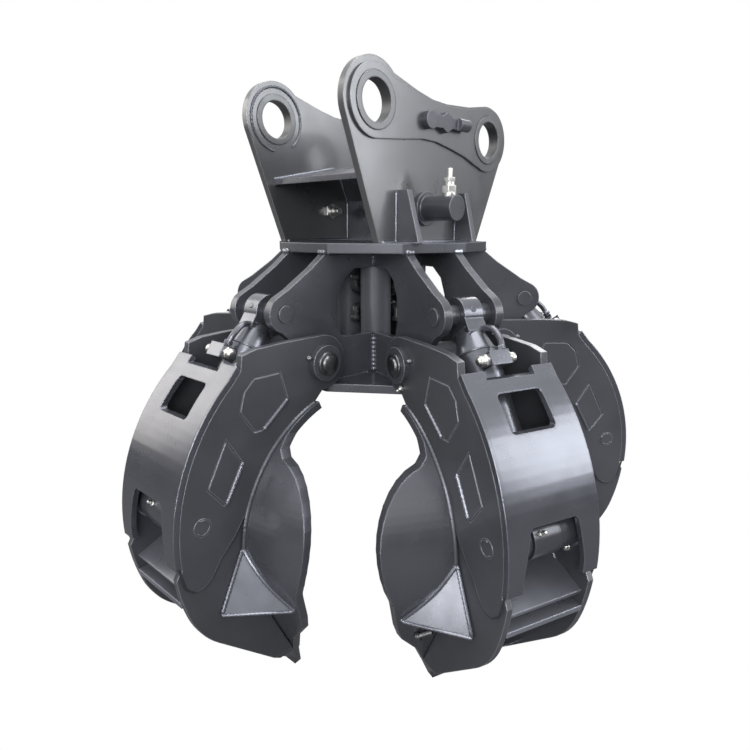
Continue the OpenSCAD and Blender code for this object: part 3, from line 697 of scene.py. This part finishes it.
def edge_bolt(name, a):
    """The bolt that stands out of the wing's lower edge."""
    bm = bmesh.new()
    head, root = wing(a, -1, 140, -754, 8), wing(a, -1, 122, -741, 14)
    hex_bolt(bm, head, head - root, across=15)
    drum(bm, aimed(root, head), 6, 6, (head - root).length * MM, sides=20)
    piece("jaw_%s_edge_bolt" % name, bm, FINISHES["pin"], "jaw_" + name)


def eye_nipple(name, a):
    """The grease nipple on a rod's eye."""
    bm = bmesh.new()
    outwards = at(a, 0, *CYL_OUT) - at(a, 0, 0, 0)
    nipple(bm, at(a, -14, *(ROD_PIN + CYL_OUT * 39)), outwards)
    piece("rod_%s_nipple" % name, bm, FINISHES["zinc"], "rod_" + name)


class GRAPPLE_OT_fasteners(bpy.types.Operator):
    """Pin keepers, grease nipples and bolts"""
    bl_idname = "grapple.fasteners"
    bl_label = "Fasteners"

    def execute(self, context):
        for name, a in STATIONS.items():
            pivot_keepers(name, a)
            jaw_nipples(name, a)
            edge_bolt(name, a)
            eye_nipple(name, a)
        return {"FINISHED"}


# Pieces of a cylinder
def oil_pipe(name, a, r):
    """The pipe from the barrel's head to the port block."""
    bm = bmesh.new()
    path = [along(a, 40, 12, 24), along(a, 50, 20, 49), along(a, 80, 21, 59),
            along(a, PORT_BLOCK + 2, 15, 57)]
    tube(bm, fillet_path(path, 16), r)
    nut = aimed(along(a, PORT_BLOCK - 2, 15, 57), along(a, 86, 15, 57))
    drum(bm, nut, 10, 10, 8, sides=6)
    piece("cyl_%s_pipe" % name, bm, FINISHES["barrel"], "barrel_" + name)


def port_unions(name, a):
    """A union with its plug on each end of the port block."""
    bm = bmesh.new()
    for s, reach, cap in ((1, 9, 2), (-1, 11, 4)):
        m = pose(along(a, PORT_BLOCK + 14, s * 22, 55), side_dir(a) * s)
        drum(bm, m, 12.5, 12.5, 8, sides=6, bevel=0.9)
        drum(bm, m, 10, 10, reach, z=8, sides=28, bevel=1.2)
        drum(bm, m, 7, 6, cap, z=8 + reach, sides=24, bevel=0.8)
    piece("cyl_%s_unions" % name, bm, FINISHES["zinc"], "barrel_" + name)


def cylinder_seams(name, a):
    """Rings of the gland and the head, beads of the eye and its grease hole."""
    bm = bmesh.new()
    for s, r, size, pitch in ((290, 44.6, 1.6, 5), (322, 44.6, 1.6, 5), (84, 40, 2.4, 4)):
        weld(bm, [along(a, s, u, v) for u, v in round_of(r, 16, 0, 32)], size, pitch=pitch)
    for s in (-1, 1):
        weld(bm, [along(a, 34, s * 21, out) for out in (-24, 24)], 2.6, pitch=4)
    weld(bm, [along(a, 36, t, 27) for t in (-20, 20)], 2.6, pitch=4)
    drum(bm, aimed(along(a, 4, 0, 34), along(a, 4, 0, 60)), 6, 6, 2.6, sides=24)
    piece("cyl_%s_seams" % name, bm, FINISHES["seam"], "barrel_" + name)


class GRAPPLE_OT_cylinder_trim(bpy.types.Operator):
    """Oil pipes, port unions and seams of the cylinders"""
    bl_idname = "grapple.cylinder_trim"
    bl_label = "Cylinder trim"

    def execute(self, context):
        for name, a in STATIONS.items():
            oil_pipe(name, a, context.scene.grapple_look.pipe_r * MM)
            port_unions(name, a)
            cylinder_seams(name, a)
        return {"FINISHED"}


# The stage, in metres: name, place, aim, size, power and tint of each lamp
MIDDLE = (0, 0.19, -0.6)
LAMPS = (
    ("low_window", (3.44, 2.14, 0.75), MIDDLE, (2.1, 1.9), 59, (0.96, 0.98, 1.0)),
    ("floor_glow", (0.95, -3.4, -0.85), (0.43, 0, -0.95), (1.3, 0.6), 17, (1, 1, 1)),
    ("side_window", (2.6, -3.0, 0.7), MIDDLE, (1.4, 1.8), 70, (1, 1, 1)),
    ("left_strip", (-2.9, -1.45, 0.85), MIDDLE, (1.2, 2.8), 27, (1.0, 0.94, 0.85)),
    ("top", (0.4, 0.2, 3.0), MIDDLE, (2.6, 2.6), 70, (1, 1, 1)),
    ("back_rim", (-1.6, 3.0, 1.4), MIDDLE, (2.0, 1.4), 50, (1, 1, 1)),
)
FLOOR_HALF = 9
FLOOR_COLOR = (0.15, 0.15, 0.155, 1)
ROOM_STRENGTH = 0.96
ROOM_LOW, ROOM_HIGH = (0.14, 0.14, 0.15, 1), (1, 1, 1, 1)
ROOM_LOW_END, ROOM_HIGH_START = 0.50, 0.68
CAMERA_PLACE = (1.0317, -0.8931, -0.2358)
CAMERA_TURN = (math.radians(76.4), 0, math.radians(44.2))
CAMERA_SENSOR, CAMERA_LENS, CAMERA_REACH = 36, 29.18, 50


def pale_floor(scene):
    """A plain floor that the camera sees white and the object as pale grey."""
    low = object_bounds()[0][2] - scene.grapple_look.floor_drop
    bm = bmesh.new()
    bmesh.ops.create_grid(bm, x_segments=1, y_segments=1, size=FLOOR_HALF,
                          matrix=Matrix.Translation((0, 0, low)))
    mesh = bpy.data.meshes.new("floor")
    bm.to_mesh(mesh)
    bm.free()
    floor = bpy.data.objects.new("floor", mesh)
    scene.collection.objects.link(floor)
    m = bpy.data.materials.new("pale_floor")
    m.use_nodes = True
    t = m.node_tree
    t.nodes.clear()
    plain = node(t, "ShaderNodeBsdfDiffuse", {"Color": FLOOR_COLOR})
    white = node(t, "ShaderNodeEmission")
    seen = node(t, "ShaderNodeLightPath").outputs["Is Camera Ray"]
    mix = node(t, "ShaderNodeMixShader", {"Fac": seen, 1: plain.outputs[0], 2: white.outputs[0]})
    node(t, "ShaderNodeOutputMaterial", {"Surface": mix.outputs[0]})
    mesh.materials.append(m)
    floor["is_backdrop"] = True


def white_world(scene):
    """A backdrop that the camera sees white, and a room that is dark low down."""
    world = bpy.data.worlds.new("studio")
    scene.world = world
    world.use_nodes = True
    t = world.node_tree
    t.nodes.clear()
    place = node(t, "ShaderNodeTexCoord").outputs["Generated"]
    axes = node(t, "ShaderNodeSeparateXYZ", {0: place})
    height = node(t, "ShaderNodeMapRange", {"Value": axes.outputs["Z"], "From Min": -1})
    color = ramp(t, height.outputs["Result"], ROOM_LOW, ROOM_HIGH, ROOM_LOW_END, ROOM_HIGH_START)
    room = node(t, "ShaderNodeBackground", {"Color": color, "Strength": ROOM_STRENGTH})
    white = node(t, "ShaderNodeBackground", {"Color": (1, 1, 1, 1)})
    seen = node(t, "ShaderNodeLightPath").outputs["Is Camera Ray"]
    mix = node(t, "ShaderNodeMixShader", {"Fac": seen, 1: room.outputs[0], 2: white.outputs[0]})
    node(t, "ShaderNodeOutputWorld", {"Surface": mix.outputs[0]})


def lamp(scene, name, place, aim, size, power, tint):
    """A soft rectangular lamp that points at a place."""
    data = bpy.data.lights.new(name, "AREA")
    data.shape = "RECTANGLE"
    data.size, data.size_y = size
    data.energy = power
    data.color = tint
    ob = bpy.data.objects.new(name, data)
    ob.location = place
    ob.rotation_euler = (Vector(aim) - Vector(place)).to_track_quat("-Z", "Y").to_euler()
    scene.collection.objects.link(ob)


def camera(scene):
    """The camera of the photograph."""
    data = bpy.data.cameras.new("camera")
    data.sensor_width = CAMERA_SENSOR
    data.lens = CAMERA_LENS
    data.clip_end = CAMERA_REACH
    ob = bpy.data.objects.new("camera", data)
    ob.location = CAMERA_PLACE
    ob.rotation_euler = CAMERA_TURN
    scene.collection.objects.link(ob)
    scene.camera = ob


class GRAPPLE_OT_stage(bpy.types.Operator):
    """Camera, pale floor and soft studio light"""
    bl_idname = "grapple.stage"
    bl_label = "Stage"

    def execute(self, context):
        scene = context.scene
        pale_floor(scene)
        white_world(scene)
        for values in LAMPS:
            lamp(scene, *values)
        camera(scene)
        scene.view_settings.view_transform = "Standard"
        return {"FINISHED"}


OPERATORS = (GRAPPLE_OT_paint, GRAPPLE_OT_head_welds, GRAPPLE_OT_jaw_welds,
             GRAPPLE_OT_fasteners, GRAPPLE_OT_cylinder_trim, GRAPPLE_OT_stage)


class GRAPPLE_PT_panel(bpy.types.Panel):
    """Lists the steps in their order"""
    bl_label = "Grapple"
    bl_idname = "GRAPPLE_PT_panel"
    bl_space_type = "VIEW_3D"
    bl_region_type = "UI"
    bl_category = "Grapple"

    def draw(self, context):
        look = context.scene.grapple_look
        for key in ("paint", "weld_r", "pipe_r", "floor_drop"):
            self.layout.prop(look, key)
        for op in OPERATORS:
            self.layout.operator(op.bl_idname)


CLASSES = (GrappleLook, *OPERATORS, GRAPPLE_PT_panel)


def register():
    for c in CLASSES:
        bpy.utils.register_class(c)
    bpy.types.Scene.grapple_look = PointerProperty(type=GrappleLook)


def unregister():
    del bpy.types.Scene.grapple_look
    for c in reversed(CLASSES):
        bpy.utils.unregister_class(c)


def main():
    register()
    bpy.ops.grapple.paint()
    bpy.ops.grapple.head_welds()
    bpy.ops.grapple.jaw_welds()
    bpy.ops.grapple.fasteners()
    bpy.ops.grapple.cylinder_trim()
    bpy.ops.grapple.stage()


if __name__ == "__main__":
    main()
